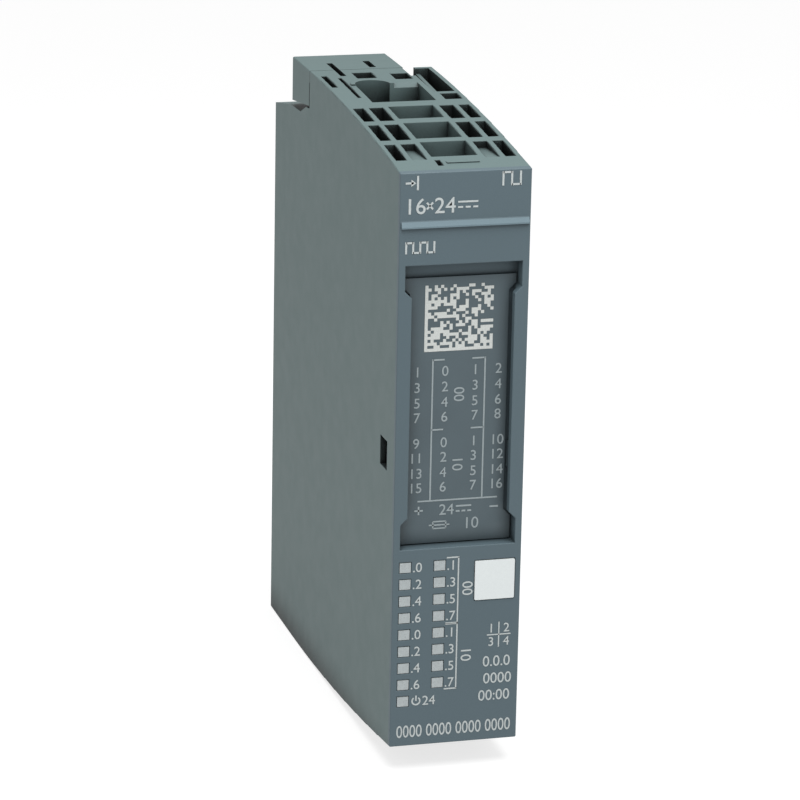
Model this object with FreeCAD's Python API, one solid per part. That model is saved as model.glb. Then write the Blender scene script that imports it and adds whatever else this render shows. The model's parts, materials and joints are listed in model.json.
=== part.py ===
import FreeCAD, Part
import os

# Slim plug-in input module for a rail-mounted control station.
# Drafting frame, millimetres: x is the width, y the depth behind the front face, z the height
# above the underside. export() shifts it so that the origin is the centre of the rear seat face.
# A pair is (low, high) along one axis.

# ---- driving dimensions -------------------------------------------------------------------
WIDTH = 15.0
HEIGHT = 73.0
DEPTH = 58.0
END_DROP = 3.13            # how much lower the roof is at the front than at its rear end
ARCH_RUN = 50.0            # depth of the arched part of the roof
ARCH_RISE = 0.87           # rise of the roof's arc above its chord
WALL = 0.65                # side wall of the hood
FLANGE = 0.7               # depth of the front cover's outer flange
GAP = 0.1                  # assembly gap between mouldings
EDGE_ROUND = 0.15          # rounding of the long outer edges
RIM_ROUND = 0.12           # rounding of the rims of vents, slots and windows

HALF = WIDTH / 2
INSIDE = HALF - WALL
MID_Z = HEIGHT / 2
CEILING = HEIGHT - 6.0     # inner face of the ventilated roof
FIT = INSIDE - GAP         # half width of a moulding that sits between the side walls
PAST = 1.0                 # how far a cutter runs past the face that it opens

# vent grid: column edges from the middle outwards, and the rows behind the front
VENT_MIDDLE = 2.62
POCKET_COLUMN = (3.37, 4.97)
SLOT_COLUMN = (5.68, INSIDE)
VENT_ROWS = ((4.1, 9.4), (10.8, 16.5), (17.9, 23.2))
MIDDLE_ROWS = ((4.9, 9.9), (11.1, 16.9), (18.5, 23.5))
RAMP_START = 0.15          # depth of each sloping pocket floor at its front end
RAMP_ENDS = (0.8, 2.1, 3.4)    # its depth at its rear end, row by row

# roof behind the grid
THUMB_X = (-4.0, 3.6)
THUMB_Y = (25.3, 33.0)
THUMB_FLOOR = CEILING + 0.9
THUMB_CHAMFER = 0.45       # on the rear rim of the recess, beside the round end
ARCH_CENTRE = (-1.93, 33.0)
ARCH_RADIUS = 2.07
CHAMFER_X = (ARCH_CENTRE[0] + ARCH_RADIUS + 0.4, THUMB_X[1])
ARCH_RIM = 0.5
ARCH_RIM_RISE = 0.15
ROOF_SLOTS = (             # x pair, y pair, depth below the highest line of the roof
    ((-INSIDE, -6.25), (32.5, 38.2), 1.8),
    ((-4.55, -3.85), (37.8, 41.2), 1.6),
    ((-5.1, -4.75), (27.5, 37.0), 0.85),
    ((-2.8, -0.5), (36.4, 39.4), 1.8),
    ((1.6, 3.6), (35.4, 38.4), 1.8),
    ((-2.6, -2.05), (2.0, 3.8), 3.3),
)
RAIL_CHANNELS = (          # x pair and y pair, as deep as the thumb recess
    ((4.9, INSIDE), (25.6, 28.2)),
    ((4.3, INSIDE), (28.9, 40.3)),
    ((3.75, 5.2), (36.8, 41.1)),
)
RAIL_PLAN = ((4.45, 28.5), (4.9, 28.5), (5.75, 40.5), (5.3, 40.5))
RAIL_TOP = 72.3
RAIL_ROOT = 0.5
FRONT_BAR = ((-1.5, 2.2), (2.5, 3.4))
FRONT_BAR_RISE = 0.05

# release levers and the lowered rear part below them
LEVER_Y = (41.1, 50.0)
LEVER_RIGHT = 3.9
SKIRT = 0.8
SKIRT_UNDERSIDE = (68.7, 67.65)     # at its front and at its rear
SKIRT_SETBACK = 0.15       # lets the skirt's lower front corner swing clear of the hood
PLATE_UNDERSIDE = 71.5
PLATE_OVERLAP = 0.7        # how far the parts below the plate reach into it
CATCH_THICKNESS = 1.2
CATCH_BOTTOM = 69.4
LEVER_CLEARANCE = 0.15     # between the bottom lever and the side wall
LEVER_REAR_ROUND = 0.6
LEVER_WEBS = ((-6.5, -5.7), (-4.1, -1.7), (-0.1, 1.9), (3.4, LEVER_RIGHT))
WEB_FRONT = LEVER_Y[0] + 0.3
WEB_BOTTOM = 69.3
WEB_RELIEF = (44.2, 70.4)  # the webs are lower than this height only in front of this depth
LEVER_SLOTS = (            # x pair, y pair
    ((-4.55, -3.85), (41.0, 44.8)),
    ((0.05, 0.85), (41.9, 45.4)),
)
LEVER_SLOT_DEPTH = 1.1
PIVOT_Y = 42.2
PIVOT_Z = 69.9
PIVOT_RADIUS = 0.8
PIVOT_CLEARANCE = 0.05
PIVOT_ROD = (-6.2, 3.8)
EAR_X = (-5.4, -1.4, 2.2)
EAR_WIDTH = 1.0
EAR_Y = (40.6, 43.6)
EAR_Z = (67.2, 71.3)
STEP_LINE = ((41.0, 68.4), (42.6, 68.3), (45.4, 67.15), (50.5, 66.95), (DEPTH + PAST, 65.45))
BULKHEAD_FRONT = 40.2
DECK = 1.0                 # thickness of the deck under the levers

# front cover
COVER_DEPTH = 2.9
FACE_THICKNESS = 1.5
COVER_WALL = 0.8
COVER_HOLLOWS = ((7.0, 25.4), (60.4, CEILING - 0.9))
RECESS_Z = (26.6, 59.4)
RECESS_WAIST = 5.9
RECESS_TAB = 6.7
RECESS_GROOVE = 6.4        # half width of the undercut beside the label
GROOVE_SHORTER = 0.6       # how much the undercut stops short of the recess at either end
RECESS_LIP = 0.2
TAB_HEIGHT = 2.9
TAB_CHAMFER = 0.8
LABEL_DEPTH = 1.6
LABEL_THICKNESS = 0.4
LABEL_Z = (RECESS_Z[0] + 0.15, RECESS_Z[1] - 1.8)
LABEL_WAIST = RECESS_WAIST - 0.2
LABEL_TAB = RECESS_TAB - 0.2
LABEL_TAB_HEIGHTS = (TAB_HEIGHT - 0.25, TAB_HEIGHT - 1.9)
RIB_Z = 64.1
RIB_HEIGHT = 1.0
RIB_CREST = (RIB_Z - 0.42, RIB_Z - 0.25)
RIB_RISE = 0.3
RIB_ROOT = 0.3             # how deep the rib is rooted in the face
RIB_FOOT = 0.05
ARM_THICKNESS = 0.8
ARM_HEIGHT = 3.0
ARM_END = 6.1
BARB_HEIGHT = 2.8
BARB_RISE = 0.35
BARB_END = 4.6
SNAP_WINDOW_Y = (3.4, 6.3)
SNAP_WINDOW_Z = (35.0, 38.4)

# white tag in the face
TAG_CENTRE = (4.43, 22.43)
TAG_SIZE = 4.65
TAG_PROUD = 0.08
TAG_DEPTH = 0.5
TAG_ROUND = 0.15

# main circuit board, on edge, and the ribs of the hood that hold it
BOARD_X = (3.0, 4.2)
BOARD_Y = (9.0, 52.0)
BOARD_Z = (7.2, 65.8)
BOARD_ROUND = 1.0
BOARD_HOLE = 1.1
BOARD_HOLES = ((11.5, 31.0), (42.0, 62.0))
BOARD_RIB_Y = (12.0, 38.0)
BOARD_RIB = 0.9
BOARD_RIB_GRIP = 0.9       # how far the ribs overlap the board's edge

# status lights
LIGHT_SIZE = (1.3, 1.15)
LIGHT_CLEARANCE = 0.05
LIGHT_COLUMNS = (-6.05, -2.03)
LIGHT_TOP_Z = 24.5
LIGHT_PITCH = 2.0
LIGHT_ROWS = 8
LIGHT_SINK = 0.02          # how far the prongs stay behind the face
LIGHT_WEB_Y = (5.0, 5.9)
LIGHT_WEB_X = (-6.7, -1.3)
LIGHT_WEB_MARGIN = 0.7     # web above and below the middle of the end prongs
POWER_FOOT_X = (-6.7, -4.2)
POWER_LIGHT_Z = LIGHT_TOP_Z - LIGHT_ROWS * LIGHT_PITCH
LED_SIZE = (1.1, 0.6, 0.8)
DISPLAY_BOARD_X = (-6.6, 4.8)
DISPLAY_BOARD_Y = (6.8, 7.6)
DISPLAY_BOARD_Z = (7.2, 27.4)
DISPLAY_BOARD_ROUND = 0.5
HEADER_X = (0.6, BOARD_X[0])
HEADER_Y = (DISPLAY_BOARD_Y[1], 12.0)
HEADER_Z = (10.0, 22.0)

# packages with bent leads: body height, y pair, z pair (or width), leads along an edge, pitch
STANDOFF = 0.1
LEAD_ROOT = 0.1            # how far the lead reaches into the body
LEAD_KNEE = 0.65           # how far out it turns down
LEAD_REACH = 1.0           # how far out its foot ends
LEAD_SHARE = 0.4           # width of a lead as a share of the pitch
LEAD_THICKNESS = 0.2
LEAD_SHOULDER = 0.55       # height of the lead's shoulder as a share of the body's
OPTO_BODY = (2.2, (31.0, 41.0), 4.6, 8, 1.2)
OPTO_MIDDLES = (15.0, 26.0, 37.0, 48.0)
BUS_CHIP = (1.4, (24.0, 34.0), (46.0, 56.0), 12, 0.7)
MEMORY_CHIP = (1.5, (36.0, 41.0), (50.0, 54.0), 4, 1.2)

# flat packages: height above the board, y pair, z pair
MICROCONTROLLER = (0.9, (25.0, 32.0), (30.0, 37.0))
CRYSTAL = (1.0, (37.0, 40.2), (32.0, 37.0))
CRYSTAL_ROUND = 0.5
FUSE = (2.6, (35.1, 41.2), (57.0, 59.6))
REGULATOR = (2.4, (24.0, 30.0), (9.6, 15.8))
REGULATOR_TAB = (0.6, (24.4, 29.6), (15.8, 17.4))
REGULATOR_LEGS = (0.6, ((24.45, 25.15), (28.85, 29.55)), (8.6, 9.6))

# groups of small chips: (height, size in y, size in z), first (y, z), (column pitch, row pitch)
RESISTORS = ((0.6, 3.2, 1.6), (13.0, 10.0), (5.0, 3.0))
FILTER_CAPACITORS = ((0.8, 1.6, 0.8), (25.0, 10.0), (4.0, 2.2))
CHIP_COLUMNS = 2
CHIPS_IN_COLUMN = 8
DIODE_COUNT = 8
DIODE_FIRST_Z = 12.5
DIODE_PITCH = 6.0
DIODE_BODY = (2.2, (45.0, 49.2), 2.6)
DIODE_TAB = (0.3, (44.3, 49.9), 1.4)

# cans, choke and transformer
CAN_RADIUS = 3.15
CAN_LENGTH = 7.2
CAN_FOOT = (0.8, 6.6)
CAN_FOOT_ROUND = 0.8
CAN_ROUND = 0.4
CAN_Y = 17.0
CAN_MIDDLES = (34.0, 42.0)
CHOKE_MIDDLE = (25.5, 57.5)
CHOKE_FOOT = (1.0, 6.8)
CHOKE_CORE = (3.0, 4.2)
CHOKE_LID = (3.3, 4.8)
CHOKE_ROUND = 1.2
CORE_HEIGHTS = (0.8, 6.5)  # above the board
CORE_Y = (12.5, 20.5)
CORE_Z = (50.0, 62.0)
CORE_WINDOW_HEIGHTS = (2.3, 5.0)
CORE_WINDOWS_Z = ((51.8, 54.4), (57.6, 60.2))
CORE_FOOT_MARGIN = 0.5
COIL_BULGE = 1.2           # how far the coil comes out of the core's mouths
COIL_MARGIN = 0.3
COIL_ROUND = 1.0

# rear connector base and its contacts
BASE_Z = (8.5, 64.5)
BASE_Y = (55.4, DEPTH)
BASE_ROUND = 0.8
WELL_WALL = 0.7
CARRIER_Y = (47.0, 52.6)
BUS_CARRIER_FRONT = 49.0
CONTACT_TIP = DEPTH - 0.8
CONTACT_POINT = 0.8        # length of the pointed end
PROCESS_COLUMNS = ((-2.8, 44.6), (0.2, 45.8))   # x, and the depth where the tail turns
PROCESS_FIRST_Z = 11.5
PROCESS_PITCH = 2.5
PROCESS_ROWS = 9
PROCESS_BLADE = (1.2, 0.6, 0.5)                 # width, thickness, tail
SUPPLY_X = -1.3
SUPPLY_Z = (41.8, 44.4)
SUPPLY_TAIL_Y = 45.8
SUPPLY_BLADE = (2.4, 0.8, 0.8)
BUS_COLUMNS = ((-2.0, 46.2), (-0.6, 47.2))
BUS_FIRST_Z = 49.0
BUS_PITCH = 1.2
BUS_ROWS = 5
BUS_BLADE = (0.5, 0.5, 0.4)
PROCESS_WELL = ((-4.3, 1.7), (9.9, 33.2))
SUPPLY_WELL = ((-3.6, 1.0), (40.4, 45.8))
BUS_WELL = ((-3.4, 0.8), (47.6, 55.2))
BASE_GROOVE = ((3.6, 5.6), (56.6, DEPTH + PAST), (12.0, 61.0))

# coding element
KEY_MIDDLE = (-1.1, 60.2)
KEY_WELL = ((-4.2, 2.0), (57.1, 63.3))
KEY_WELL_FLOOR = 53.6
KEY_FLOOR = 0.8            # thickness of the wall under the key's well
KEY_FOOT = (5.8, 54.8)     # size, rear face
KEY_POST = (2.0, DEPTH - 0.6)
KEY_PEG = (0.8, 55.4)
KEY_PEG_X = 2.0
KEY_PEG_Z = 2.2
KEY_BODY = (5.6, (55.5, DEPTH - 0.1))
KEY_SLOT = 2.2
KEY_ROUND = 0.5
KEY_NOTCH = (1.9, 56.9)    # distance from the middle, front of the notch


# ---- helpers ------------------------------------------------------------------------------
def box(x, y, z):
    """Block between the pairs x, y and z."""
    corner = FreeCAD.Vector(x[0], y[0], z[0])
    return Part.makeBox(x[1] - x[0], y[1] - y[0], z[1] - z[0], corner)


def around(centre, size):
    """Pair of the given size about a centre."""
    return (centre - size / 2, centre + size / 2)


def mirrored(pair):
    return (-pair[1], -pair[0])


def prism(vectors, direction):
    """Extrude the closed polygon through the vectors."""
    face = Part.Face(Part.makePolygon(vectors + vectors[:1]))
    return face.extrude(direction)


def side_prism(points, x):
    """Extrude a closed outline of (y, z) points along the width."""
    vectors = [FreeCAD.Vector(x[0], y, z) for y, z in points]
    return prism(vectors, FreeCAD.Vector(x[1] - x[0], 0, 0))


def front_prism(points, y):
    """Extrude a closed outline of (x, z) points backwards."""
    vectors = [FreeCAD.Vector(x, y[0], z) for x, z in points]
    return prism(vectors, FreeCAD.Vector(0, y[1] - y[0], 0))


def plan_prism(points, z):
    """Extrude a closed outline of (x, y) points upwards."""
    vectors = [FreeCAD.Vector(x, y, z[0]) for x, y in points]
    return prism(vectors, FreeCAD.Vector(0, 0, z[1] - z[0]))


def rod_x(radius, x, y, z):
    """Round rod along the width."""
    return Part.makeCylinder(radius, x[1] - x[0], FreeCAD.Vector(x[0], y, z), FreeCAD.Vector(1, 0, 0))


def rod_z(radius, centre, z):
    """Upright round rod about the point (x, y)."""
    return Part.makeCylinder(radius, z[1] - z[0], FreeCAD.Vector(centre[0], centre[1], z[0]))


def flipped(shape):
    """Mirror image about the module's middle height, for the underside."""
    return shape.mirror(FreeCAD.Vector(0, 0, MID_Z), FreeCAD.Vector(0, 0, 1))


def both_ends(shapes):
    return shapes + [flipped(shape) for shape in shapes]


def fused(shapes):
    """One clean solid from shapes that share faces or overlap."""
    result = shapes[0].multiFuse(shapes[1:]) if len(shapes) > 1 else shapes[0]
    result = result.removeSplitter()
    return result.Solids[0] if len(result.Solids) == 1 else result


def rounded(shape, radius, chosen):
    """Fillet the edges for which chosen(edge) is true."""
    return shape.makeFillet(radius, [edge for edge in shape.Edges if chosen(edge)])


def runs_along(edge, axis):
    """True for a straight edge parallel to the axis with that number."""
    if len(edge.Vertexes) != 2:
        return False
    run = edge.Vertexes[1].Point - edge.Vertexes[0].Point
    return run.Length > 0.01 and abs(abs(run[axis]) - run.Length) < 0.001


def rounded_block(x, y, z, radius, axis):
    """Block with the four edges along one axis rounded."""
    return rounded(box(x, y, z), radius, lambda edge: runs_along(edge, axis))


def inner_wires(face):
    return [wire for wire in face.Wires if not wire.isSame(face.OuterWire)]


def export(name, shape):
    placed = shape.copy()
    placed.translate(FreeCAD.Vector(0, -DEPTH, -MID_Z))
    if len(placed.Solids) == 1:
        placed = placed.Solids[0]
    placed.exportStep("parts/" + name + ".step")
    print(f"{name:24s} solids {len(placed.Solids):3d}  valid {placed.isValid()}  volume {placed.Volume:9.2f}")


# ---- outer envelope -----------------------------------------------------------------------
def roof_height(y):
    """Height of the arched roof at depth y, by the parabola that the shallow arc follows."""
    run = min(y, ARCH_RUN) / ARCH_RUN
    return HEIGHT - END_DROP * (1 - run) + 4 * ARCH_RISE * run * (1 - run)


def is_long_arch_edge(edge):
    """True for the four arched edges between a flank and the roof or floor."""
    bounds = edge.BoundBox
    return bounds.XLength < 0.001 and bounds.YLength > ARCH_RUN - 1 and bounds.ZLength > 0.1


def envelope():
    """The whole outer form: flat sides, an arched roof, and the same arch below."""
    def point(y, z):
        return FreeCAD.Vector(-HALF, y, z)
    half_run = ARCH_RUN / 2
    half_z = HEIGHT - END_DROP / 2 + ARCH_RISE
    roof = Part.Arc(point(0, HEIGHT - END_DROP), point(half_run, half_z), point(ARCH_RUN, HEIGHT))
    floor = Part.Arc(point(0, END_DROP), point(half_run, HEIGHT - half_z), point(ARCH_RUN, 0))
    edges = [
        roof.toShape(),
        Part.makeLine(point(ARCH_RUN, HEIGHT), point(DEPTH, HEIGHT)),
        Part.makeLine(point(DEPTH, HEIGHT), point(DEPTH, 0)),
        Part.makeLine(point(DEPTH, 0), point(ARCH_RUN, 0)),
        floor.toShape(),
        Part.makeLine(point(0, END_DROP), point(0, HEIGHT - END_DROP)),
    ]
    outline = Part.Wire(Part.__sortEdges__(edges))
    solid = Part.Face(outline).extrude(FreeCAD.Vector(WIDTH, 0, 0))
    return rounded(solid, EDGE_ROUND, is_long_arch_edge)


def above_step(x):
    """Space above the lowered rear part of the hood, where a release lever lies."""
    top = HEIGHT + PAST
    return side_prism(list(STEP_LINE) + [(DEPTH + PAST, top), (STEP_LINE[0][0], top)], x)


# ---- hood ---------------------------------------------------------------------------------
def hood_cavity():
    """Inside of the hood: open to the front and to the rear, lower under the levers."""
    deck = [(y, z - DECK) for y, z in STEP_LINE[1:]]
    upper = [(FLANGE - PAST, CEILING), (BULKHEAD_FRONT, CEILING), (STEP_LINE[0][0], deck[0][1])] + deck
    lower = [(y, HEIGHT - z) for y, z in reversed(upper)]
    return side_prism(upper + lower, (-INSIDE, INSIDE))


def ramped_pockets(x):
    """Blind pockets whose floors slope down from just below the roof."""
    top = HEIGHT + PAST
    pockets = []
    for (front, rear), depth in zip(VENT_ROWS, RAMP_ENDS):
        floor = [(front, roof_height(front) - RAMP_START), (rear, roof_height(rear) - depth)]
        pockets.append(side_prism(floor + [(rear, top), (front, top)], x))
    return pockets


def vent_cutters():
    """Three rows of vents: open middle cells, ramped pockets, open slots at the walls."""
    through = (CEILING - PAST, HEIGHT + PAST)
    cutters = [box(around(0, 2 * VENT_MIDDLE), row, through) for row in MIDDLE_ROWS]
    for column in (SLOT_COLUMN, mirrored(SLOT_COLUMN)):
        cutters += [box(column, row, through) for row in VENT_ROWS]
    for column in (POCKET_COLUMN, mirrored(POCKET_COLUMN)):
        cutters += ramped_pockets(column)
    return cutters


def roof_cutters():
    """Thumb recess with its round end, slots, pockets and the open rail channel."""
    top = HEIGHT + PAST
    recess = (THUMB_FLOOR, top)
    rear = THUMB_Y[1]
    low = roof_height(rear) - THUMB_CHAMFER
    chamfer = side_prism([(rear, low), (rear + top - low, top), (rear, top)], CHAMFER_X)
    cutters = [box(THUMB_X, THUMB_Y, recess), rod_z(ARCH_RADIUS, ARCH_CENTRE, recess), chamfer]
    cutters += [box(x, y, (HEIGHT - depth, top)) for x, y, depth in ROOF_SLOTS]
    cutters += [box(x, y, recess) for x, y in RAIL_CHANNELS]
    return cutters


def roof_additions():
    """Raised rim of the thumb recess, slanted rail and small raised bar on the front land."""
    rim_z = (THUMB_FLOOR + 2, roof_height(ARCH_CENTRE[1]) + ARCH_RIM_RISE)
    rim = rod_z(ARCH_RADIUS + ARCH_RIM, ARCH_CENTRE, rim_z).cut(rod_z(ARCH_RADIUS, ARCH_CENTRE, rim_z))
    rear_half = box((-HALF, THUMB_X[1]), (ARCH_CENTRE[1], ARCH_CENTRE[1] + 2 * ARCH_RADIUS), rim_z)
    rail = plan_prism(RAIL_PLAN, (CEILING + RAIL_ROOT, RAIL_TOP))
    bar_top = roof_height(sum(FRONT_BAR[1]) / 2) + FRONT_BAR_RISE
    bar = box(FRONT_BAR[0], FRONT_BAR[1], (CEILING + PAST, bar_top))
    return [rim.common(rear_half), rail, bar]


def pivot_ears():
    """Three ears behind the rear bulkhead that carry the lever's pivot rod."""
    return [box((x, x + EAR_WIDTH), EAR_Y, EAR_Z) for x in EAR_X]


def board_ribs():
    """Two ribs that grip the circuit board's edge, and the land that it rests on."""
    top = CEILING + 0.3
    grip = (BOARD_Z[1] - BOARD_RIB_GRIP, top)
    left = (BOARD_X[0] - GAP - BOARD_RIB, BOARD_X[0] - GAP)
    right = (BOARD_X[1] + GAP, BOARD_X[1] + GAP + BOARD_RIB)
    land = box((left[1], right[0]), BOARD_RIB_Y, (BOARD_Z[1], top))
    return [box(left, BOARD_RIB_Y, grip), box(right, BOARD_RIB_Y, grip), land]


def soften_openings(body):
    """Round the rims of the slots and pockets in the roof and in the floor."""
    for top in (True, False):
        rims = []
        for face in body.Faces:
            is_arched = face.Surface.TypeId == "Part::GeomCylinder" and face.Area > 100
            if is_arched and (face.CenterOfMass.z > MID_Z) == top:
                for wire in inner_wires(face):
                    if len(wire.Edges) == 4 and wire.BoundBox.YLength > 1:
                        rims += wire.Edges
        body = body.makeFillet(RIM_ROUND, rims)
    return body


def housing_hood(outer):
    body = outer.cut(box((-HALF - PAST, HALF + PAST), (-PAST, FLANGE), (-PAST, HEIGHT + PAST)))
    body = body.cut(hood_cavity())
    body = body.cut(above_step((-HALF - PAST, HALF + PAST)))
    body = body.cut(flipped(above_step((-INSIDE, INSIDE))))
    body = body.cut(both_ends(vent_cutters() + roof_cutters()))
    body = body.fuse(both_ends(roof_additions() + pivot_ears() + board_ribs()))
    bore = rod_x(PIVOT_RADIUS + PIVOT_CLEARANCE, (-INSIDE, INSIDE), PIVOT_Y, PIVOT_Z)
    snap_windows = box((-HALF - PAST, HALF + PAST), SNAP_WINDOW_Y, SNAP_WINDOW_Z)
    body = body.cut(both_ends([bore]) + [snap_windows])
    return soften_openings(body.removeSplitter())


# ---- release levers -----------------------------------------------------------------------
def release_lever(outer, left, has_skirt):
    """Press plate on a moulded pivot rod, with a catch edge along its rear end."""
    top = PLATE_UNDERSIDE + PLATE_OVERLAP
    catch_front = LEVER_Y[1] - CATCH_THICKNESS
    pieces = [
        outer.common(box((left, LEVER_RIGHT), LEVER_Y, (PLATE_UNDERSIDE, HEIGHT + PAST))),
        box((left, LEVER_RIGHT), (catch_front, LEVER_Y[1]), (CATCH_BOTTOM, top)),
        rod_x(PIVOT_RADIUS, PIVOT_ROD, PIVOT_Y, PIVOT_Z),
    ]
    if has_skirt:
        front, rear = (LEVER_Y[0] + SKIRT_SETBACK, LEVER_Y[1])
        low_front, low_rear = SKIRT_UNDERSIDE
        skirt = [(front, low_front), (rear, low_rear), (rear, top), (front, top)]
        pieces.append(side_prism(skirt, (left, left + SKIRT)))
    relief_y, relief_top = WEB_RELIEF
    for x in LEVER_WEBS:
        web = box(x, (WEB_FRONT, catch_front), (WEB_BOTTOM, PLATE_UNDERSIDE))
        pieces.append(web.cut(box(x, (relief_y, catch_front), (WEB_BOTTOM, relief_top))))
    slots = [box(x, y, (HEIGHT - LEVER_SLOT_DEPTH, HEIGHT + PAST)) for x, y in LEVER_SLOTS]
    lever = rounded(fused(pieces), LEVER_REAR_ROUND, is_lever_rear_edge)
    return lever.cut(slots).removeSplitter()


def is_lever_rear_edge(edge):
    bounds = edge.BoundBox
    at_rear = bounds.YMin > LEVER_Y[1] - 0.01
    return runs_along(edge, 0) and at_rear and bounds.ZMin > HEIGHT - 0.5


# ---- front cover --------------------------------------------------------------------------
def stepped_outline(waist, tab, z, tab_heights):
    """Upright panel outline with wider tabs at its lower and upper ends."""
    low_tab = z[0] + tab_heights[0]
    high_tab = z[1] - tab_heights[1]
    right = [
        (tab, z[0]),
        (tab, low_tab),
        (waist, low_tab + TAB_CHAMFER),
        (waist, high_tab - TAB_CHAMFER),
        (tab, high_tab),
        (tab, z[1]),
    ]
    return right + [(-x, z_here) for x, z_here in reversed(right)]


def light_places():
    """Middles (x, z) of the channel lights."""
    rows = [LIGHT_TOP_Z - row * LIGHT_PITCH for row in range(LIGHT_ROWS)]
    return [(x, z) for x in LIGHT_COLUMNS for z in rows]


def power_light_place():
    return (LIGHT_COLUMNS[0], POWER_LIGHT_Z)


def light_prong(place, y, clearance):
    width, height = LIGHT_SIZE
    return box(around(place[0], width + 2 * clearance), y, around(place[1], height + 2 * clearance))


def cover_flange():
    """Outer rim of the face, rounded along all its front and corner edges."""
    low = HEIGHT - roof_height(FLANGE)
    outline = [(0, END_DROP), (FLANGE, low), (FLANGE, HEIGHT - low), (0, HEIGHT - END_DROP)]
    flange = side_prism(outline, (-HALF, HALF))
    return rounded(flange, EDGE_ROUND, is_outer_flange_edge)


def is_outer_flange_edge(edge):
    on_the_face = edge.BoundBox.YMax < 0.001
    from_front_to_rear = not (runs_along(edge, 0) or runs_along(edge, 2))
    return on_the_face or from_front_to_rear


def face_cutters():
    """Label recess with its side grooves, light windows and the tag's pocket."""
    label_floor = LABEL_DEPTH + LABEL_THICKNESS
    outline = stepped_outline(RECESS_WAIST, RECESS_TAB, RECESS_Z, (TAB_HEIGHT, TAB_HEIGHT))
    mouth = front_prism(outline, (-PAST, label_floor))
    groove_z = (RECESS_Z[0] + GROOVE_SHORTER, RECESS_Z[1] - GROOVE_SHORTER)
    groove = box(around(0, 2 * RECESS_GROOVE), (FLANGE + RECESS_LIP, label_floor), groove_z)
    through = (-PAST, COVER_DEPTH + PAST)
    places = light_places() + [power_light_place()]
    windows = [light_prong(place, through, LIGHT_CLEARANCE) for place in places]
    pocket_x = around(TAG_CENTRE[0], TAG_SIZE + GAP)
    pocket_z = around(TAG_CENTRE[1], TAG_SIZE + GAP)
    pocket = rounded_block(pocket_x, (-PAST, TAG_DEPTH), pocket_z, TAG_ROUND, 1)
    return [mouth, groove, pocket] + windows


def snap_arms():
    """Two arms whose barbs catch in the hood's side windows."""
    middle = sum(SNAP_WINDOW_Z) / 2
    arm_x = (FIT - ARM_THICKNESS, FIT)
    barb_x = (FIT - BARB_RISE / 2, FIT + BARB_RISE)
    arms = []
    for arm_pair, barb_pair in ((arm_x, barb_x), (mirrored(arm_x), mirrored(barb_x))):
        arms.append(box(arm_pair, (FACE_THICKNESS, ARM_END), around(middle, ARM_HEIGHT)))
        arms.append(box(barb_pair, (SNAP_WINDOW_Y[0] + GAP, BARB_END), around(middle, BARB_HEIGHT)))
    return arms


def grip_rib():
    """Low rib across the face, with a long slope above its crest and a short one below."""
    bottom, top = around(RIB_Z, RIB_HEIGHT)
    outline = [
        (RIB_ROOT, bottom),
        (RIB_FOOT, bottom),
        (-RIB_RISE, RIB_CREST[0]),
        (-RIB_RISE, RIB_CREST[1]),
        (RIB_FOOT, top),
        (RIB_ROOT, top),
    ]
    return side_prism(outline, around(0, WIDTH - 2 * EDGE_ROUND - GAP))


def soften_face(cover):
    """Round the rims of the label recess, of the light windows and of the tag's pocket."""
    rims = []
    for face in cover.Faces:
        if face.BoundBox.YMax < 0.001 and face.Area > 100:
            for wire in inner_wires(face):
                rims += wire.Edges
    return cover.makeFillet(RIM_ROUND, rims)


def front_cover():
    body = box((-FIT, FIT), (FLANGE, COVER_DEPTH), (HEIGHT - CEILING + GAP, CEILING - GAP))
    hollow_x = (-FIT + COVER_WALL, FIT - COVER_WALL)
    hollows = [box(hollow_x, (FACE_THICKNESS, COVER_DEPTH + PAST), z) for z in COVER_HOLLOWS]
    cover = cover_flange().fuse(body).cut(hollows + face_cutters())
    cover = soften_face(fused([cover] + snap_arms()))
    return fused([cover, grip_rib()])


def wiring_label():
    """Printed plate that lies on the floor of the front recess."""
    outline = stepped_outline(LABEL_WAIST, LABEL_TAB, LABEL_Z, LABEL_TAB_HEIGHTS)
    return front_prism(outline, (LABEL_DEPTH, LABEL_DEPTH + LABEL_THICKNESS))


def colour_tag():
    x = around(TAG_CENTRE[0], TAG_SIZE)
    z = around(TAG_CENTRE[1], TAG_SIZE)
    return rounded_block(x, (-TAG_PROUD, TAG_DEPTH), z, TAG_ROUND, 1)


# ---- status lights ------------------------------------------------------------------------
def channel_light_guide():
    """Clear comb: one prong for each channel window, on a common web."""
    places = light_places()
    prongs = [light_prong(place, (LIGHT_SINK, LIGHT_WEB_Y[0]), 0) for place in places]
    heights = [z for x, z in places]
    web_z = (min(heights) - LIGHT_WEB_MARGIN, max(heights) + LIGHT_WEB_MARGIN)
    web = box(LIGHT_WEB_X, LIGHT_WEB_Y, web_z)
    return fused([web.fuse(prongs)])


def power_light_guide():
    prong = light_prong(power_light_place(), (LIGHT_SINK, LIGHT_WEB_Y[0]), 0)
    foot = box(POWER_FOOT_X, LIGHT_WEB_Y, around(POWER_LIGHT_Z, 2 * LIGHT_WEB_MARGIN))
    return fused([prong, foot])


def display_board():
    return rounded_block(DISPLAY_BOARD_X, DISPLAY_BOARD_Y, DISPLAY_BOARD_Z, DISPLAY_BOARD_ROUND, 1)


def status_leds():
    """Chip light sources in front of the display board, one behind each prong."""
    width, depth, height = LED_SIZE
    y = (DISPLAY_BOARD_Y[0] - depth, DISPLAY_BOARD_Y[0])
    places = light_places() + [power_light_place()]
    return Part.makeCompound([box(around(x, width), y, around(z, height)) for x, z in places])


def board_link_header():
    """Angled plug that joins the display board to the main board."""
    return box(HEADER_X, HEADER_Y, HEADER_Z)


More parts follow.
